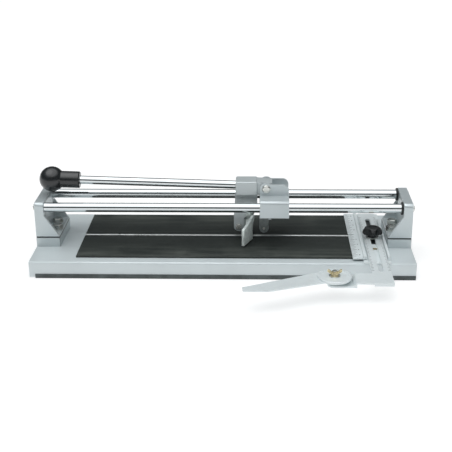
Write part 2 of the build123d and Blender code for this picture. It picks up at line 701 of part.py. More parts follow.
def make_carriage_saddle():
    """Cast saddle: aprons outside the rails, a shelf over them, two ears for the pivot."""
    under_shelf = SHELF_TOP - SHELF_T
    with BuildPart() as saddle:
        with BuildSketch(along_x(SADDLE_LEFT)):
            outline([(-APRON_Y, APRON_BOTTOM), (-APRON_Y, SHELF_TOP), (APRON_Y, SHELF_TOP),
                     (APRON_Y, APRON_BOTTOM), (APRON_Y - APRON_T, APRON_BOTTOM),
                     (APRON_Y - APRON_T, under_shelf), (APRON_T - APRON_Y, under_shelf),
                     (APRON_T - APRON_Y, APRON_BOTTOM)])
        extrude(amount=SADDLE_RIGHT - SADDLE_LEFT)
        outer = saddle.edges().filter_by(Axis.X).group_by(Axis.Z)[-1]
        fillet(outer, radius=5.0)
        for y in (-EAR_IN, EAR_OUT):
            with BuildSketch(along_y(y)):
                outline([(SADDLE_LEFT, under_shelf), (SADDLE_RIGHT, under_shelf),
                         (SADDLE_RIGHT, EAR_TOP), (PIVOT_X, EAR_TOP), (PIVOT_X, PIVOT_Z),
                         (SADDLE_LEFT, PIVOT_Z)])
                with Locations((PIVOT_X, PIVOT_Z)):
                    Circle(PIVOT_X - SADDLE_LEFT)
            extrude(amount=EAR_OUT - EAR_IN)
        corners = saddle.edges().filter_by(Axis.Y).filter_by_position(
            Axis.X, SADDLE_RIGHT - 0.1, SADDLE_RIGHT + 0.1).filter_by_position(
            Axis.Z, EAR_TOP - 0.1, EAR_TOP + 0.1)
        fillet(corners, radius=9.0)
        block(HOLDER_RIGHT, TAB_RIGHT, -TAB_HALF, TAB_HALF, TAB_BOTTOM, under_shelf)
        with Locations(along_y(-EAR_OUT) * Location((PIVOT_X, PIVOT_Z))):
            Hole(radius=PIN_R + 0.02)
        tab_face = along_x(TAB_RIGHT)
        with Locations(*[tab_face * Location((0, z)) for z in HOLDER_SCREW_Z]):
            Hole(radius=SCREW_CLEAR_R, depth=TAB_RIGHT - HOLDER_RIGHT)
    write_piece(saddle, "carriage_saddle")


def make_slide_block(name, side):
    """Nylon block inside the saddle that runs on a rail."""
    inner_y = 22.5
    near, far = sorted((side * inner_y, side * (APRON_Y - APRON_T)))
    with BuildPart() as slide:
        block(SADDLE_LEFT + 2, SADDLE_RIGHT - 2, near, far, APRON_BOTTOM + 1.5,
              SHELF_TOP - SHELF_T)
        with Locations(along_x(SADDLE_RIGHT - 2) * Location((side * RAIL_Y, RAIL_Z))):
            Hole(radius=RAIL_R + RUNNING)
    write_piece(slide, name)


def make_wheel_holder():
    """Bar with a fork at its foot for the scoring wheel, bolted to the saddle's tab."""
    x0 = WHEEL_X - HOLDER_W / 2
    half = HOLDER_D / 2
    with BuildPart() as holder:
        with BuildSketch(along_y(half)):
            with Locations((WHEEL_X, (WHEEL_Z + SHELF_TOP - SHELF_T) / 2)):
                Rectangle(HOLDER_W, SHELF_TOP - SHELF_T - WHEEL_Z)
            with Locations((WHEEL_X, WHEEL_Z)):
                Circle(HOLDER_END_R)
        extrude(amount=HOLDER_D)
        block(x0 - 1, HOLDER_RIGHT + 1, -1.3, 1.3, WHEEL_Z - 10, WHEEL_Z + 9.5,
              mode=Mode.SUBTRACT)
        with Locations(along_y(-half) * Location((WHEEL_X, WHEEL_Z))):
            CounterBoreHole(radius=AXLE_R + 0.02, counter_bore_radius=4.4,
                            counter_bore_depth=1.0)
        tapped = along_x(HOLDER_RIGHT)
        with Locations(*[tapped * Location((0, z)) for z in HOLDER_SCREW_Z]):
            Hole(radius=SCREW_R + 0.05, depth=10.0)
    write_piece(holder, "wheel_holder")

    with BuildPart() as axle:
        with BuildSketch(along_y(half - 0.2)):
            with Locations((WHEEL_X, WHEEL_Z)):
                Circle(AXLE_R)
        extrude(amount=HOLDER_D - 0.4)
        chamfer(axle.edges().filter_by(GeomType.CIRCLE), length=0.3)
    write_piece(axle, "wheel_axle")

    with BuildPart() as screws:
        for z in HOLDER_SCREW_Z:
            with BuildSketch(along_x(TAB_RIGHT)):
                with Locations((0, z)):
                    Circle(3.6)
            extrude(amount=2.6)
        fillet(screws.edges().group_by(Axis.X)[-1], radius=1.0)
        for z in HOLDER_SCREW_Z:
            block(TAB_RIGHT + 1.6, TAB_RIGHT + 3.0, -0.4, 0.4, z - 4, z + 4, mode=Mode.SUBTRACT)
            with BuildSketch(along_x(TAB_RIGHT)):
                with Locations((0, z)):
                    Circle(SCREW_R)
            extrude(amount=-12.0)
    write_piece(screws, "holder_screws")


def make_scoring_wheel():
    """Hard-metal wheel with a V edge, free on its axle."""
    edge = 1.1
    with BuildPart() as wheel:
        with BuildSketch(Plane(origin=(WHEEL_X, 0, WHEEL_Z), x_dir=(1, 0, 0),
                               z_dir=(0, 0, 1))):
            outline([(AXLE_R + RUNNING, -WHEEL_T / 2), (WHEEL_R - edge, -WHEEL_T / 2),
                     (WHEEL_R, 0), (WHEEL_R - edge, WHEEL_T / 2), (AXLE_R + RUNNING, WHEEL_T / 2)])
        revolve(axis=Axis((WHEEL_X, 0, WHEEL_Z), (0, 1, 0)))
    write_piece(wheel, "scoring_wheel")


def make_pivot():
    """Dome-headed pin through the ears, its retaining ring and the lever's bush."""
    head_end = -EAR_OUT - 2.4
    tail = EAR_OUT + 2.2
    groove_in = EAR_OUT + 0.1
    groove_out = groove_in + 1.1
    with BuildPart() as pin:
        with BuildSketch(Plane(origin=(PIVOT_X, 0, PIVOT_Z), x_dir=(1, 0, 0), z_dir=(0, 0, 1))):
            outline([(0, head_end), (PIN_HEAD_R, head_end), (PIN_HEAD_R, -EAR_OUT),
                     (PIN_R, -EAR_OUT), (PIN_R, groove_in), (PIN_R - 0.6, groove_in),
                     (PIN_R - 0.6, groove_out), (PIN_R, groove_out), (PIN_R, tail), (0, tail)])
        revolve(axis=Axis((PIVOT_X, 0, PIVOT_Z), (0, 1, 0)))
        fillet(pin.edges().filter_by(GeomType.CIRCLE).group_by(Axis.Y)[0], radius=2.2)
    write_piece(pin, "pivot_pin")

    with BuildPart() as ring:
        with BuildSketch(along_y(groove_out - 0.05)):
            with Locations((PIVOT_X, PIVOT_Z)):
                Circle(6.6)
                Circle(PIN_R - 0.55, mode=Mode.SUBTRACT)
            with Locations((PIVOT_X, PIVOT_Z - 6.0)):
                Rectangle(4.4, 6.0, mode=Mode.SUBTRACT)
        extrude(amount=1.0)
    write_piece(ring, "pivot_clip")

    with BuildPart() as bush:
        with BuildSketch(along_y(EAR_IN - 0.3)):
            with Locations((PIVOT_X, PIVOT_Z)):
                Circle(BUSH_R)
                Circle(PIN_R + RUNNING, mode=Mode.SUBTRACT)
        extrude(amount=2 * (EAR_IN - 0.3))
    write_piece(bush, "pivot_bush")


# ---------------------------------------------------------------- lever
def rod_plane(distance):
    """Plane across the lever rod, at a distance from the lever head towards the ball."""
    tilt = radians(ROD_TILT)
    away = (-cos(tilt), 0, sin(tilt))
    spot = (ROD_X + away[0] * distance, 0, ROD_Z + away[2] * distance)
    return Plane(origin=spot, x_dir=(0, 1, 0), z_dir=away)


def make_lever_head():
    """Casting: rod socket, pivot tongue between the ears, and a leg down to the fork."""
    tongue_half = EAR_IN - 0.5
    leg = [(LEVER_LEFT, LEVER_BOTTOM + 4), (LUG_X - LUG_R, 62.0), (LUG_X - LUG_R, LUG_Z),
           (LUG_X + LUG_R, LUG_Z), (LUG_X + LUG_R, 58.0), (35.0, 67.0), (LEVER_RIGHT, 82.0),
           (LEVER_RIGHT, LEVER_BOTTOM + 4)]
    with BuildPart() as head:
        block(LEVER_LEFT, LEVER_RIGHT, -LEVER_HALF, LEVER_HALF, LEVER_BOTTOM, LEVER_TOP)
        fillet(head.edges().filter_by(Axis.Z), radius=1.2)
        fillet(head.edges().group_by(Axis.Z)[-1], radius=2.6)
        with BuildSketch(along_y(tongue_half)):
            with Locations((PIVOT_X, PIVOT_Z)):
                Circle(KNUCKLE_R)
            outline([(LEVER_RIGHT - 4, PIVOT_Z - KNUCKLE_R), (PIVOT_X, PIVOT_Z - KNUCKLE_R),
                     (PIVOT_X + KNUCKLE_R, PIVOT_Z), (PIVOT_X + KNUCKLE_R, TONGUE_TOP - 2.5),
                     (PIVOT_X + KNUCKLE_R - 1, TONGUE_TOP - 1.2), (LEVER_RIGHT - 4, TONGUE_TOP)])
        extrude(amount=2 * tongue_half)
        with BuildSketch(along_y(LEG_HALF)):
            outline(leg)
            with Locations((LUG_X, LUG_Z)):
                Circle(LUG_R)
        extrude(amount=2 * LEG_HALF)
        block(LUG_X - 20, LEVER_RIGHT, -FORK_HALF, FORK_HALF, LUG_Z - LUG_R - 1, LUG_Z + 17.0,
              mode=Mode.SUBTRACT)
        with Locations(rod_plane(1.5).location):
            Hole(radius=ROD_R + 0.02, depth=ROD_IN + 2.0)
        with Locations(along_y(-tongue_half) * Location((PIVOT_X, PIVOT_Z))):
            Hole(radius=BUSH_R + 0.02)
        with Locations(along_y(-LEG_HALF) * Location((LUG_X, LUG_Z))):
            Hole(radius=SCREW_CLEAR_R)
        rear = Plane(origin=(LEVER_LEFT + 14, LEVER_HALF, ROD_Z - 0.5), z_dir=(0, 1, 0))
        with Locations(rear.location):
            Hole(radius=2.5, depth=LEVER_HALF - ROD_R + 1)
    write_piece(head, "lever_head")

    with BuildPart() as set_screw:
        with BuildSketch(Plane(origin=(LEVER_LEFT + 14, ROD_R + 0.1, ROD_Z - 0.5), z_dir=(0, 1, 0))):
            Circle(2.45)
        extrude(amount=LEVER_HALF - ROD_R - 1.0)
        with BuildSketch(Plane(origin=(LEVER_LEFT + 14, LEVER_HALF - 0.9, ROD_Z - 0.5),
                               z_dir=(0, 1, 0))):
            RegularPolygon(radius=1.25, side_count=6, major_radius=False)
        extrude(amount=-2.5, mode=Mode.SUBTRACT)
    write_piece(set_screw, "rod_set_screw")


def make_lever_rod():
    """Chromed rod from the lever head into the ball knob."""
    with BuildPart() as rod:
        with BuildSketch(rod_plane(-ROD_IN)):
            Circle(ROD_R)
        extrude(amount=ROD_IN + BALL_S)
        chamfer(rod.edges().filter_by(GeomType.CIRCLE), length=0.8)
    write_piece(rod, "lever_rod")


def make_ball_knob():
    """Black ball with a cylindrical shank, bored for the rod."""
    neck = BALL_S - (BALL_R ** 2 - SHANK_R ** 2) ** 0.5
    start = rod_plane(0)
    along_rod = Plane(origin=start.origin, x_dir=start.z_dir, z_dir=(0, -1, 0))
    with BuildPart() as knob:
        with BuildSketch(along_rod) as half_profile:
            with Locations((BALL_S, 0)):
                Circle(BALL_R)
            with Locations(((SHANK_S + BALL_S) / 2, 0)):
                Rectangle(BALL_S - SHANK_S, 2 * SHANK_R)
            waist = half_profile.vertices().filter_by(
                lambda vertex: abs(vertex.X - neck) < 0.5 and abs(vertex.Y) < SHANK_R + 0.5)
            fillet(waist, radius=2.0)
            mouth = half_profile.vertices().group_by(Axis.X)[0]
            chamfer(mouth, length=1.4)
            with Locations((BALL_S - 10, 50)):
                Rectangle(200, 100, mode=Mode.INTERSECT)
        revolve(axis=Axis(start.origin, start.z_dir))
        bore = Plane(origin=rod_plane(SHANK_S).origin, z_dir=-start.z_dir)
        with Locations(bore.location):
            Hole(radius=ROD_R + 0.02, depth=BALL_S - SHANK_S + 0.5)
    write_piece(knob, "ball_knob")


# ---------------------------------------------------------------- breaker
def make_breaker():
    """Pressing foot: a tongue in the lever's fork and two wings swept back from it."""
    tip_x, tip_y = FOOT_TIP
    length = hypot(tip_x - FOOT_APEX_X, tip_y)
    wing_dir = ((tip_x - FOOT_APEX_X) / length, tip_y / length, 0)
    wing_plane = Plane(origin=(FOOT_APEX_X, 0, 0), x_dir=wing_dir,
                       z_dir=(wing_dir[1], -wing_dir[0], 0))
    rise = 1 if wing_plane.y_dir.Z > 0 else -1
    wing = [(FOOT_INNER, FOOT_BOTTOM), (length, FOOT_BOTTOM), (length, FOOT_TIP_TOP),
            (FOOT_INNER + 12, 60.0), (14.0, 66.0), (10.0, 63.5), (FOOT_INNER, 52.0)]
    bridge_x = (34.0, 41.0)
    bridge_z = (43.0, 57.0)
    with BuildPart() as foot:
        with BuildSketch(wing_plane):
            outline([(s, rise * z) for s, z in wing])
        extrude(amount=FOOT_T / 2, both=True)
        mirror(about=Plane.XZ)
        with BuildSketch(along_y(TONGUE_HALF)):
            outline([(LUG_X, LUG_Z + LUG_R - 0.5), (LUG_X, LUG_Z - LUG_R + 0.5),
                     (bridge_x[0], bridge_z[0]), (bridge_x[1], bridge_z[0]),
                     (bridge_x[1], bridge_z[1]), (bridge_x[0], bridge_z[1])])
            with Locations((LUG_X, LUG_Z)):
                Circle(LUG_R - 0.5)
        extrude(amount=2 * TONGUE_HALF)
        block(*bridge_x, -FOOT_BRIDGE_HALF, FOOT_BRIDGE_HALF, *bridge_z)
        with Locations(along_y(-TONGUE_HALF) * Location((LUG_X, LUG_Z))):
            Hole(radius=SCREW_R + RUNNING)
    write_piece(foot, "breaker_foot")

    with BuildPart() as screw:
        with BuildSketch(along_y(-LEG_HALF)):
            with Locations((LUG_X, LUG_Z)):
                Circle(4.8)
        extrude(amount=2.6)
        fillet(screw.edges().group_by(Axis.Y)[0], radius=0.9)
        block(LUG_X - 0.5, LUG_X + 0.5, -LEG_HALF - 3.0, -LEG_HALF - 1.4, LUG_Z - 6, LUG_Z + 6,
              mode=Mode.SUBTRACT)
        with BuildSketch(along_y(-LEG_HALF)):
            with Locations((LUG_X, LUG_Z)):
                Circle(SCREW_R)
        extrude(amount=-2 * LEG_HALF - 3.5)
    write_piece(screw, "breaker_screw")

    with BuildPart() as nut:
        with BuildSketch(along_y(LEG_HALF + 3.0)):
            with Locations((LUG_X, LUG_Z)):
                RegularPolygon(radius=3.5, side_count=6, major_radius=False)
                Circle(SCREW_R + 0.02, mode=Mode.SUBTRACT)
        extrude(amount=3.0)
    write_piece(nut, "breaker_nut")


make_base_plate()
make_snapping_bar()
make_rail_end_screws()
make_rail_bumpers()
make_gaskets()
make_bracket_fasteners()
for place, direction in (("front", -1), ("rear", 1)):
    make_edge_strip(f"{place}_edge_strip", direction)
    make_rail(f"{place}_rail", direction * RAIL_Y)
    make_slide_block(f"{place}_slide_block", direction)
for place, direction in (("left", -1), ("right", 1)):
    make_riser(f"{place}_riser", direction)
    make_bracket(f"{place}_bracket", direction)
make_pad("front_pad", -1, PAD_FRONT)
make_pad("rear_pad", 1, PAD_BACK)
make_end_fence()
make_scale_plate()
make_fence_guide()
make_small_screws()
make_clamp()
make_fence_arm()
make_swivel_stack()
make_angle_guide()
make_wing_nut()
make_carriage_saddle()
make_wheel_holder()
make_scoring_wheel()
make_pivot()
make_lever_head()
make_lever_rod()
make_ball_knob()
make_breaker()
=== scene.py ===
import json
from math import cos, radians, sin

import bmesh
import bpy
from mathutils import Matrix, Vector


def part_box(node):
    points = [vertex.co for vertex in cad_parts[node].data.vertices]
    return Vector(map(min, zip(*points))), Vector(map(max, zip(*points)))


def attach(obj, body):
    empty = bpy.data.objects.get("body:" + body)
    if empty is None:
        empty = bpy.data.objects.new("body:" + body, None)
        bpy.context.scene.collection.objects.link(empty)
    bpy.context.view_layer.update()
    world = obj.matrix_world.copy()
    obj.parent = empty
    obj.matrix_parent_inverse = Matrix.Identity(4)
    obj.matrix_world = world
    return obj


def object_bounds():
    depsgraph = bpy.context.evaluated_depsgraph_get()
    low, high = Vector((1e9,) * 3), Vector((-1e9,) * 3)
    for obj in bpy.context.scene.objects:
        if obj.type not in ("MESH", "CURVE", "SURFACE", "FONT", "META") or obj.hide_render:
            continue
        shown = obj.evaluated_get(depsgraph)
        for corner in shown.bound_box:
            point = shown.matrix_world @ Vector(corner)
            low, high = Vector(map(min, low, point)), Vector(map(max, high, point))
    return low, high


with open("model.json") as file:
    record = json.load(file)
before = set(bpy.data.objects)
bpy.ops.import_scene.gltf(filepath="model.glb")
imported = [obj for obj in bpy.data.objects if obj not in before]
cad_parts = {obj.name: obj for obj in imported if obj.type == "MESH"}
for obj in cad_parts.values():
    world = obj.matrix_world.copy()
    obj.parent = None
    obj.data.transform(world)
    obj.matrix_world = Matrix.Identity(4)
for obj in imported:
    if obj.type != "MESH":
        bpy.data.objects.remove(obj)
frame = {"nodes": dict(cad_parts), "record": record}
cad_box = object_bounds()

# Lengths are metres, in the frame of the CAD model: +X along the rails, +Y to the back, +Z up.
MM = 0.001

# ---------------------------------------------------------------- driving values
# Camera: a long lens a little above the front, turned slightly to the left
CAMERA_PLACE = (0.0564, -1.4243, 0.5908)
CAMERA_PITCH = radians(21.01)
CAMERA_YAW = radians(-2.13)
CAMERA_ROLL = radians(-0.52)
CAMERA_LENS = 79.65
SENSOR_WIDTH = 36

# Studio: heights are the upward part of a direction, leaned towards the front
WALL_COLOUR = (0.085, 0.092, 0.094, 1)
CEILING_COLOUR = (1.50, 1.53, 1.55, 1)
WALL_TOP = 0.62
CEILING_START = 0.80
FRONT_LEAN = -0.15
KEY_STRENGTH = 0.55
KEY_SPREAD = radians(50)
KEY_TOWARDS = (0.30, 0.18, -1.0)
FLOOR_RADIUS = 14.0
FLOOR_SIDES = 96
FLOOR_COLOUR = (0.52, 0.52, 0.52)
FLOOR_GLOW = 0.55

# Rounding of the sharp edges of castings and plates, in millimetres
EDGE_RADII = {
    "base_plate": 0.3, "left_riser": 0.6, "right_riser": 0.6, "left_bracket": 0.9,
    "right_bracket": 0.9, "end_fence": 0.3, "fence_guide": 0.4, "fence_arm": 0.35,
    "angle_blade": 0.35, "carriage_saddle": 0.5, "lever_head": 0.5, "breaker_foot": 0.6,
    "wheel_holder": 0.4, "bracket_bolts": 0.3,
}
WELD_GAP = 0.005 * MM
SHARP_FROM = radians(35)
ROUNDING_STEPS = 2

# Printed graduations
INK_H = 0.06 * MM
INK_COLOUR = (0.018, 0.020, 0.022)
MARK_STEP = 5 * MM
PLATE_MARKS = 17
PLATE_MARK_HALF = 0.35 * MM
PLATE_MARK_FROM = 0.5 * MM
PLATE_MARK_LONG = 8.0 * MM
PLATE_MARK_SHORT = 5.5 * MM
NUMBER_PLACE = 10.6 * MM
NUMBER_H = 4.2 * MM
ARM_W = 27 * MM
ARM_MARK_HALF = 0.32 * MM
ARM_MARK_FROM = 0.3 * MM
ARM_MARK_LONG = 3.8 * MM
ARM_MARK_SHORT = 2.8 * MM
ARM_FIRST_MARK = 44 * MM
ARM_LAST_MARK = 16 * MM

# Rubbed edges: their colours, and how a rounded normal tells an edge from a face
RUBBED_ALU = (0.93, 0.94, 0.95)
RUBBED_IRON = (0.86, 0.88, 0.88)
EDGE_SAMPLES = 6
EDGE_TURN = 0.82

# A noise texture keeps mostly between these two
NOISE_LOW = 0.3
NOISE_HIGH = 0.7

# How many times finer surface detail is along X, Y and Z
ALONG_ARM = (1, 0.03, 1)
ALONG_BAR = (0.05, 1, 1)
ALONG_RAILS = (0.4, 1, 1)
RAIL_STREAKS = (0.5, 3, 3)
PAD_STREAKS = (0.6, 5, 5)

# Where along Y the painted sheen on the pads starts, and where it is palest
FRONT_SHEEN_SPAN = (-30 * MM, -80 * MM)
REAR_SHEEN_SPAN = (20 * MM, 78 * MM)


def shade(colour, factor):
    """The colour made darker or lighter, with no channel over 1."""
    return tuple(min(1.0, channel * factor) for channel in colour)


# ---------------------------------------------------------------- procedural surfaces
class Surface:
    """One Principled material with its detail laid out in object coordinates."""

    def __init__(self, name, colour, metallic=0.0, roughness=0.5, coat=0.0, coat_roughness=0.1,
                 specular=0.5):
        self.slot = name
        self.material = bpy.data.materials.new(name)
        self.material.use_nodes = True
        self.material.diffuse_color = (*colour, 1)
        self.nodes = self.material.node_tree.nodes
        self.links = self.material.node_tree.links
        self.nodes.clear()
        out = self.nodes.new("ShaderNodeOutputMaterial")
        self.shader = self.nodes.new("ShaderNodeBsdfPrincipled")
        self.links.new(self.shader.outputs[0], out.inputs["Surface"])
        self.place = self.nodes.new("ShaderNodeTexCoord").outputs["Object"]
        self.colour = colour
        sockets = self.shader.inputs
        sockets["Base Color"].default_value = (*colour, 1)
        sockets["Metallic"].default_value = metallic
        sockets["Roughness"].default_value = roughness
        sockets["Coat Weight"].default_value = coat
        sockets["Coat Roughness"].default_value = coat_roughness
        sockets["Specular IOR Level"].default_value = specular

    def stretched(self, stretch):
        """Object coordinates multiplied along each axis."""
        node = self.nodes.new("ShaderNodeMapping")
        node.inputs["Scale"].default_value = stretch
        self.links.new(self.place, node.inputs["Vector"])
        return node.outputs[0]

    def noise(self, per_metre, detail=3.0, stretch=(1, 1, 1), distortion=0.0):
        """Cloudy noise with so many features per metre."""
        node = self.nodes.new("ShaderNodeTexNoise")
        node.inputs["Scale"].default_value = per_metre
        node.inputs["Detail"].default_value = detail
        node.inputs["Distortion"].default_value = distortion
        self.links.new(self.stretched(stretch), node.inputs["Vector"])
        return node.outputs["Fac"]

    def cells(self, per_metre):
        """Distance to the nearest cell centre, with so many cells per metre."""
        node = self.nodes.new("ShaderNodeTexVoronoi")
        node.inputs["Scale"].default_value = per_metre
        self.links.new(self.stretched((1, 1, 1)), node.inputs["Vector"])
        return node.outputs["Distance"]

    def axis(self, letter):
        """One object coordinate, in metres."""
        node = self.nodes.new("ShaderNodeSeparateXYZ")
        self.links.new(self.place, node.inputs[0])
        return node.outputs[letter]

    def fit(self, value, low, high, to_low=0.0, to_high=1.0):
        """Linear map of low..high to to_low..to_high, clamped."""
        node = self.nodes.new("ShaderNodeMapRange")
        node.inputs["From Min"].default_value = low
        node.inputs["From Max"].default_value = high
        node.inputs["To Min"].default_value = to_low
        node.inputs["To Max"].default_value = to_high
        self.links.new(value, node.inputs["Value"])
        return node.outputs[0]

    def maths(self, operation, first, second):
        """A maths node on sockets or plain numbers."""
        node = self.nodes.new("ShaderNodeMath")
        node.operation = operation
        for socket, value in zip(node.inputs, (first, second)):
            if isinstance(value, (int, float)):
                socket.default_value = value
            else:
                self.links.new(value, socket)
        return node.outputs[0]

    def times(self, share, amount):
        """A share multiplied by another share or by a plain number."""
        return self.maths("MULTIPLY", share, amount)

    def mixed(self, share, first, second):
        """Colour that goes from the first to the second with the share."""
        node = self.nodes.new("ShaderNodeMix")
        node.data_type = "RGBA"
        self.links.new(share, node.inputs["Factor"])
        for socket, value in ((node.inputs[6], first), (node.inputs[7], second)):
            if isinstance(value, tuple):
                socket.default_value = (*value, 1)
            else:
                self.links.new(value, socket)
        return node.outputs[2]

    def set_colour(self, socket):
        """Feeds the base colour."""
        self.links.new(socket, self.shader.inputs["Base Color"])

    def set_roughness(self, socket):
        """Feeds the roughness."""
        self.links.new(socket, self.shader.inputs["Roughness"])

    def cloud_roughness(self, noise, low, high):
        """Roughness that wanders between low and high with a noise."""
        self.set_roughness(self.fit(noise, NOISE_LOW, NOISE_HIGH, low, high))

    def bump(self, height, depth):
        """Adds relief of this depth in metres to what is there already."""
        node = self.nodes.new("ShaderNodeBump")
        node.inputs["Strength"].default_value = 1.0
        node.inputs["Distance"].default_value = depth
        self.links.new(height, node.inputs["Height"])
        earlier = self.shader.inputs["Normal"].links
        if earlier:
            self.links.new(earlier[0].from_socket, node.inputs["Normal"])
        self.links.new(node.outputs[0], self.shader.inputs["Normal"])

    def speckle(self, per_metre, amount, stretch=(1, 1, 1)):
        """Brightens and darkens the base colour a little."""
        share = self.fit(self.noise(per_metre, stretch=stretch), NOISE_LOW, NOISE_HIGH)
        self.set_colour(self.mixed(share, shade(self.colour, 1 - amount), shade(self.colour, 1 + amount)))

    def edges(self, width):
        """1 on sharp edges and 0 on faces, from the normal of a rounded edge."""
        round_normal = self.nodes.new("ShaderNodeBevel")
        round_normal.samples = EDGE_SAMPLES
        round_normal.inputs["Radius"].default_value = width
        plain = self.nodes.new("ShaderNodeNewGeometry")
        dot = self.nodes.new("ShaderNodeVectorMath")
        dot.operation = "DOT_PRODUCT"
        self.links.new(round_normal.outputs[0], dot.inputs[0])
        self.links.new(plain.outputs["Normal"], dot.inputs[1])
        return self.fit(dot.outputs["Value"], 1.0, EDGE_TURN)


def paint(name, colour, roughness, grain, metallic=0.4):
    """Silver stoving paint: fine flake, faint orange peel, handling marks, edges rubbed bright."""
    s = Surface(name, colour, metallic=metallic, roughness=roughness)
    flake = s.fit(s.cells(per_metre=2600), 0.15, 0.75)
    base = s.mixed(flake, shade(colour, 0.99), shade(colour, 1.01))
    cloud = s.fit(s.noise(per_metre=9, detail=4), 0.35, 0.65)
    dull = s.mixed(s.times(cloud, 0.5), base, shade(colour, 0.92))
    grime = s.fit(s.noise(per_metre=40, detail=4), 0.50, 0.85)
    soiled = s.mixed(s.times(grime, 0.25), dull, shade(colour, 0.82))
    worn = s.times(s.edges(width=0.6 * MM), s.fit(s.noise(per_metre=160), 0.35, 0.65))
    s.set_colour(s.mixed(s.times(worn, 0.3), soiled, shade(colour, 1.15)))
    s.cloud_roughness(s.noise(per_metre=28, detail=5), roughness - 0.04, roughness + 0.06)
    s.bump(s.noise(per_metre=520, detail=2), grain)
    return s


def chrome(name, colour):
    """Polished chrome with faint cloudy handling marks."""
    s = Surface(name, colour, metallic=1.0, roughness=0.07)
    s.speckle(per_metre=14, amount=0.02, stretch=RAIL_STREAKS)
    s.cloud_roughness(s.noise(per_metre=30, detail=2, stretch=ALONG_RAILS), 0.06, 0.09)
    return s


def steel(name, colour, roughness, stretch=(1, 1, 1)):
    """Plated or rolled steel with fine scratches and dulled patches."""
    s = Surface(name, colour, metallic=0.95, roughness=roughness)
    s.speckle(per_metre=120, amount=0.10)
    s.cloud_roughness(s.noise(per_metre=60, detail=4), roughness - 0.07, roughness + 0.10)
    s.bump(s.noise(per_metre=700, detail=3, stretch=stretch), depth=0.02 * MM)
    return s


def anodised(name, colour, stretch, metallic):
    """Satin anodised aluminium, brushed along its length, with rubbed edges and dust."""
    s = Surface(name, colour, metallic=metallic, roughness=0.38)
    cloud = s.fit(s.noise(per_metre=18, detail=4), NOISE_LOW, NOISE_HIGH)
    clean = s.mixed(cloud, shade(colour, 0.94), shade(colour, 1.03))
    dust = s.fit(s.noise(per_metre=80, detail=6), 0.58, 0.80)
    dusty = s.mixed(s.times(dust, 0.3), clean, shade(colour, 0.75))
    s.set_colour(s.mixed(s.times(s.edges(width=0.4 * MM), 0.5), dusty, RUBBED_ALU))
    lines = s.noise(per_metre=900, detail=2, stretch=stretch)
    s.cloud_roughness(lines, 0.30, 0.46)
    s.bump(lines, depth=0.012 * MM)
    return s


def cast_metal(name, colour, roughness, depth, edge_share, metallic):
    """Rough casting: pitted skin with edges rubbed bright."""
    s = Surface(name, colour, metallic=metallic, roughness=roughness)
    blotch = s.fit(s.noise(per_metre=210, detail=5), 0.35, 0.68)
    skin = s.mixed(blotch, shade(colour, 0.85), shade(colour, 1.12))
    s.set_colour(s.mixed(s.times(s.edges(width=0.7 * MM), edge_share), skin, RUBBED_IRON))
    s.cloud_roughness(s.noise(per_metre=300, detail=4), roughness - 0.10, roughness + 0.14)
    s.bump(s.noise(per_metre=480, detail=6), depth)
    return s


def pad_rubber(name, dark, dusty):
    """Matt rubber sheet: fine pebble and dusty blotches, with a painted sheen that makes them paler
    towards the outer edges and leaves painted shade by the snapping bar.
    """
    s = Surface(name, dark, roughness=0.62, specular=0.42)
    cloud = s.fit(s.noise(per_metre=26, detail=5, distortion=0.6), 0.38, 0.66)
    streak = s.fit(s.noise(per_metre=20, detail=4, stretch=PAD_STREAKS), 0.42, 0.70)
    # Painted sheen and shade: the pads are pale towards their front and back edges and dark near Y = 0 by
    # the snapping bar; the dusty colour is dust and painted sheen together
    front = s.fit(s.axis("Y"), *FRONT_SHEEN_SPAN, 0.15, 0.85)
    rear = s.fit(s.axis("Y"), *REAR_SHEEN_SPAN, 0.0, 0.65)
    marked = s.maths("ADD", s.times(cloud, 0.6), streak)
    share = s.times(marked, s.maths("MAXIMUM", front, rear))
    s.set_colour(s.mixed(s.maths("MINIMUM", share, 1.0), dark, dusty))
    s.set_roughness(s.fit(cloud, 0, 1, 0.56, 0.72))
    s.bump(s.cells(per_metre=1500), depth=0.08 * MM)
    s.bump(s.noise(per_metre=90), depth=0.10 * MM)
    return s


def rubber(name, colour, roughness):
    """Extruded rubber with a faint bloom."""
    s = Surface(name, colour, roughness=roughness, specular=0.4)
    bloom = s.fit(s.noise(per_metre=60, detail=5), 0.42, 0.72)
    s.set_colour(s.mixed(bloom, colour, shade(colour, 1.7)))
    s.cloud_roughness(s.noise(per_metre=140), roughness - 0.06, roughness + 0.10)
    s.bump(s.noise(per_metre=1200, detail=2), depth=0.03 * MM)
    return s


def moulded(name, colour, roughness, coat):
    """Moulded plastic with fingerprints in its gloss."""
    s = Surface(name, colour, roughness=roughness, coat=coat, coat_roughness=0.08)
    s.speckle(per_metre=90, amount=0.25)
    prints = s.noise(per_metre=70, detail=6, distortion=0.4)
    s.set_roughness(s.fit(prints, 0.35, 0.7, roughness, roughness + 0.14))
    s.bump(s.noise(per_metre=600, detail=2), depth=0.02 * MM)
    return s


def brass(name, colour):
    """Passivated brass or bronze, tarnished in its recesses."""
    s = Surface(name, colour, metallic=0.9, roughness=0.28)
    tarnish = s.fit(s.noise(per_metre=380, detail=5), 0.42, 0.72)
    s.set_colour(s.mixed(tarnish, colour, shade(colour, 0.62)))
    s.cloud_roughness(s.noise(per_metre=300), 0.20, 0.42)
    s.bump(s.noise(per_metre=900, detail=4), depth=0.03 * MM)
    return s


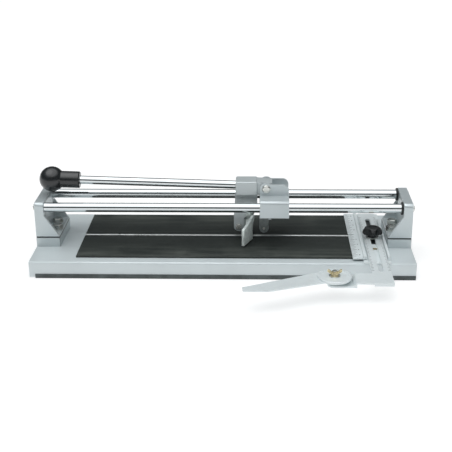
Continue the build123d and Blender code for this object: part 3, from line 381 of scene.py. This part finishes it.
def make_surfaces():
    """One surface for each material slot of the record."""
    return (
        paint("silver_paint", (0.64, 0.70, 0.715), 0.32, 0.004 * MM, metallic=0.16),
        paint("bracket_paint", (0.60, 0.66, 0.675), 0.34, 0.03 * MM),
        paint("saddle_paint", (0.59, 0.645, 0.66), 0.36, 0.02 * MM),
        paint("lever_cast", (0.56, 0.61, 0.62), 0.40, 0.04 * MM, metallic=0.26),
        cast_metal("breaker_cast", (0.80, 0.87, 0.84), 0.44, 0.12 * MM, edge_share=0.5, metallic=0.2),
        cast_metal("holder_steel", (0.27, 0.30, 0.30), 0.42, 0.06 * MM, edge_share=0.2, metallic=0.3),
        chrome("chrome", (0.66, 0.69, 0.70)),
        steel("zinc_steel", (0.66, 0.67, 0.64), 0.26),
        steel("bar_steel", (0.60, 0.62, 0.61), 0.34, stretch=ALONG_BAR),
        steel("hard_metal", (0.42, 0.43, 0.45), 0.24),
        brass("bronze", (0.50, 0.36, 0.20)),
        brass("brass", (0.80, 0.68, 0.42)),
        pad_rubber("pad_rubber", dark=(0.014, 0.019, 0.017), dusty=(0.062, 0.070, 0.062)),
        rubber("trim_rubber", (0.055, 0.066, 0.066), 0.55),
        rubber("ring_rubber", (0.012, 0.014, 0.014), 0.5),
        moulded("black_plastic", (0.010, 0.012, 0.013), 0.24, coat=0.4),
        moulded("knob_plastic", (0.010, 0.012, 0.013), 0.36, coat=0.1),
        moulded("nylon", (0.03, 0.03, 0.032), 0.5, coat=0.0),
        anodised("fence_alu", (0.74, 0.80, 0.81), ALONG_ARM, metallic=0.12),
        anodised("arm_alu", (0.78, 0.84, 0.85), ALONG_ARM, metallic=0.25),
    )


def dress_nodes():
    """Gives every CAD node the material of its slot."""
    materials = {surface.slot: surface.material for surface in make_surfaces()}
    for row in frame["record"]["subparts"]:
        node = frame["nodes"][row["node"]]
        node.data.materials.clear()
        node.data.materials.append(materials[row["material_slot"]])


def soften_edges():
    """Rounds the sharp edges of castings and plates."""
    for name, radius in EDGE_RADII.items():
        node = frame["nodes"][name]
        weld = node.modifiers.new("weld", "WELD")
        weld.merge_threshold = WELD_GAP
        bevel = node.modifiers.new("rounding", "BEVEL")
        bevel.width = radius * MM
        bevel.segments = ROUNDING_STEPS
        bevel.limit_method = "ANGLE"
        bevel.angle_limit = SHARP_FROM
        bevel.harden_normals = True


# ---------------------------------------------------------------- graduations
def add_bar(shape, x0, x1, y, half, z0):
    """A thin printed bar from x0 to x1 on a level face, centred on y."""
    bar = bmesh.ops.create_cube(shape, size=1.0)["verts"]
    size = Vector((x1 - x0, 2 * half, INK_H))
    middle = Vector(((x0 + x1) / 2, y, z0 + INK_H / 2))
    for corner in bar:
        corner.co = middle + corner.co * size


def add_number(shape, number, x, y, z0):
    """A printed number on a level face, centred on x and y."""
    text = bpy.data.curves.new("number", "FONT")
    text.body = str(number)
    text.size = NUMBER_H
    text.align_x = "CENTER"
    text.align_y = "CENTER"
    text.extrude = INK_H / 2
    holder = bpy.data.objects.new("number", text)
    bpy.context.scene.collection.objects.link(holder)
    mesh = holder.to_mesh()
    mesh.transform(Matrix.Translation((x, y, z0 + INK_H / 2)))
    shape.from_mesh(mesh)
    holder.to_mesh_clear()
    bpy.data.objects.remove(holder)
    bpy.data.curves.remove(text)


def printed_piece(name, shape, body, ink):
    """Turns the printed marks into one piece that rides on a body."""
    mesh = bpy.data.meshes.new(name)
    shape.to_mesh(mesh)
    shape.free()
    mesh.materials.append(ink.material)
    piece = bpy.data.objects.new(name, mesh)
    bpy.context.scene.collection.objects.link(piece)
    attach(piece, body)


def mark_scale_plate(ink):
    """Lines every 5 mm both ways from the scoring line, with a number at each 20 mm."""
    low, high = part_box("scale_plate")
    shape = bmesh.new()
    for step in range(1, PLATE_MARKS + 1):
        end = low.x + (PLATE_MARK_LONG if step % 2 == 0 else PLATE_MARK_SHORT)
        for y in (-step * MARK_STEP, step * MARK_STEP):
            add_bar(shape, low.x + PLATE_MARK_FROM, end, y, PLATE_MARK_HALF, high.z)
            if step % 4 == 0:
                add_number(shape, step // 2, low.x + NUMBER_PLACE, y, high.z)
    printed_piece("scale_marks", shape, "frame", ink)


def mark_arm(ink):
    """Lines every 5 mm along both legs of the arm, short enough to pass outside the clamp washer."""
    low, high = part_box("fence_arm")
    left = high.x - ARM_W
    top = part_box("clamp_washer")[0].z
    room = high.y - ARM_LAST_MARK - low.y - ARM_FIRST_MARK
    shape = bmesh.new()
    for step in range(int(room / MARK_STEP) + 1):
        y = low.y + ARM_FIRST_MARK + step * MARK_STEP
        length = ARM_MARK_LONG if step % 2 == 0 else ARM_MARK_SHORT
        add_bar(shape, left + ARM_MARK_FROM, left + length, y, ARM_MARK_HALF, top)
        add_bar(shape, high.x - length, high.x - ARM_MARK_FROM, y, ARM_MARK_HALF, top)
    printed_piece("arm_marks", shape, "arm", ink)


# ---------------------------------------------------------------- camera, light and floor
def make_camera():
    """Sets the camera by its place, pitch, yaw and roll."""
    forward = Vector((sin(CAMERA_YAW) * cos(CAMERA_PITCH),
                      cos(CAMERA_YAW) * cos(CAMERA_PITCH), -sin(CAMERA_PITCH)))
    level = Vector((cos(CAMERA_YAW), -sin(CAMERA_YAW), 0))
    upright = level.cross(forward)
    right = level * cos(CAMERA_ROLL) + upright * sin(CAMERA_ROLL)
    up = upright * cos(CAMERA_ROLL) - level * sin(CAMERA_ROLL)
    data = bpy.data.cameras.new("camera")
    data.lens = CAMERA_LENS
    data.sensor_width = SENSOR_WIDTH
    camera = bpy.data.objects.new("camera", data)
    axes = Matrix((right, up, -forward)).transposed().to_4x4()
    camera.matrix_world = Matrix.Translation(CAMERA_PLACE) @ axes
    bpy.context.scene.collection.objects.link(camera)
    bpy.context.scene.camera = camera


def make_world():
    """Studio dome: a wide white ceiling that reaches lower in front, over a dim band of wall."""
    world = bpy.data.worlds.new("studio")
    bpy.context.scene.world = world
    world.use_nodes = True
    nodes, links = world.node_tree.nodes, world.node_tree.links
    nodes.clear()
    direction = nodes.new("ShaderNodeTexCoord")
    height = nodes.new("ShaderNodeVectorMath")
    height.operation = "DOT_PRODUCT"
    height.inputs[1].default_value = (0, FRONT_LEAN, 1)
    ramp = nodes.new("ShaderNodeValToRGB")
    sky = nodes.new("ShaderNodeBackground")
    out = nodes.new("ShaderNodeOutputWorld")
    links.new(direction.outputs["Generated"], height.inputs[0])
    links.new(height.outputs["Value"], ramp.inputs[0])
    links.new(ramp.outputs[0], sky.inputs["Color"])
    links.new(sky.outputs[0], out.inputs["Surface"])
    wall, ceiling = ramp.color_ramp.elements
    wall.position = WALL_TOP
    wall.color = WALL_COLOUR
    ceiling.position = CEILING_START
    ceiling.color = CEILING_COLOUR


def make_key_light():
    """One very soft light from nearly overhead, a little in front and to the left."""
    data = bpy.data.lights.new("key_light", "SUN")
    data.energy = KEY_STRENGTH
    data.angle = KEY_SPREAD
    light = bpy.data.objects.new("key_light", data)
    light.rotation_euler = Vector(KEY_TOWARDS).to_track_quat("-Z", "Y").to_euler()
    bpy.context.scene.collection.objects.link(light)


def make_floor():
    """Plain pale floor that glows a little as well, so that it shows almost no shadow."""
    mesh = bpy.data.meshes.new("floor")
    shape = bmesh.new()
    bmesh.ops.create_circle(shape, cap_ends=True, segments=FLOOR_SIDES, radius=FLOOR_RADIUS)
    shape.to_mesh(mesh)
    shape.free()
    floor = bpy.data.objects.new("floor", mesh)
    floor.location.z = cad_box[0].z
    bpy.context.scene.collection.objects.link(floor)
    paper = Surface("floor_paper", FLOOR_COLOUR, roughness=0.9)
    paper.shader.inputs["Emission Color"].default_value = (1, 1, 1, 1)
    paper.shader.inputs["Emission Strength"].default_value = FLOOR_GLOW
    paper.speckle(per_metre=30, amount=0.01)
    mesh.materials.append(paper.material)


dress_nodes()
soften_edges()
ink = rubber("ink", INK_COLOUR, 0.6)
mark_scale_plate(ink)
mark_arm(ink)
make_camera()
make_world()
make_key_light()
make_floor()
bpy.context.scene.view_settings.view_transform = "Standard"
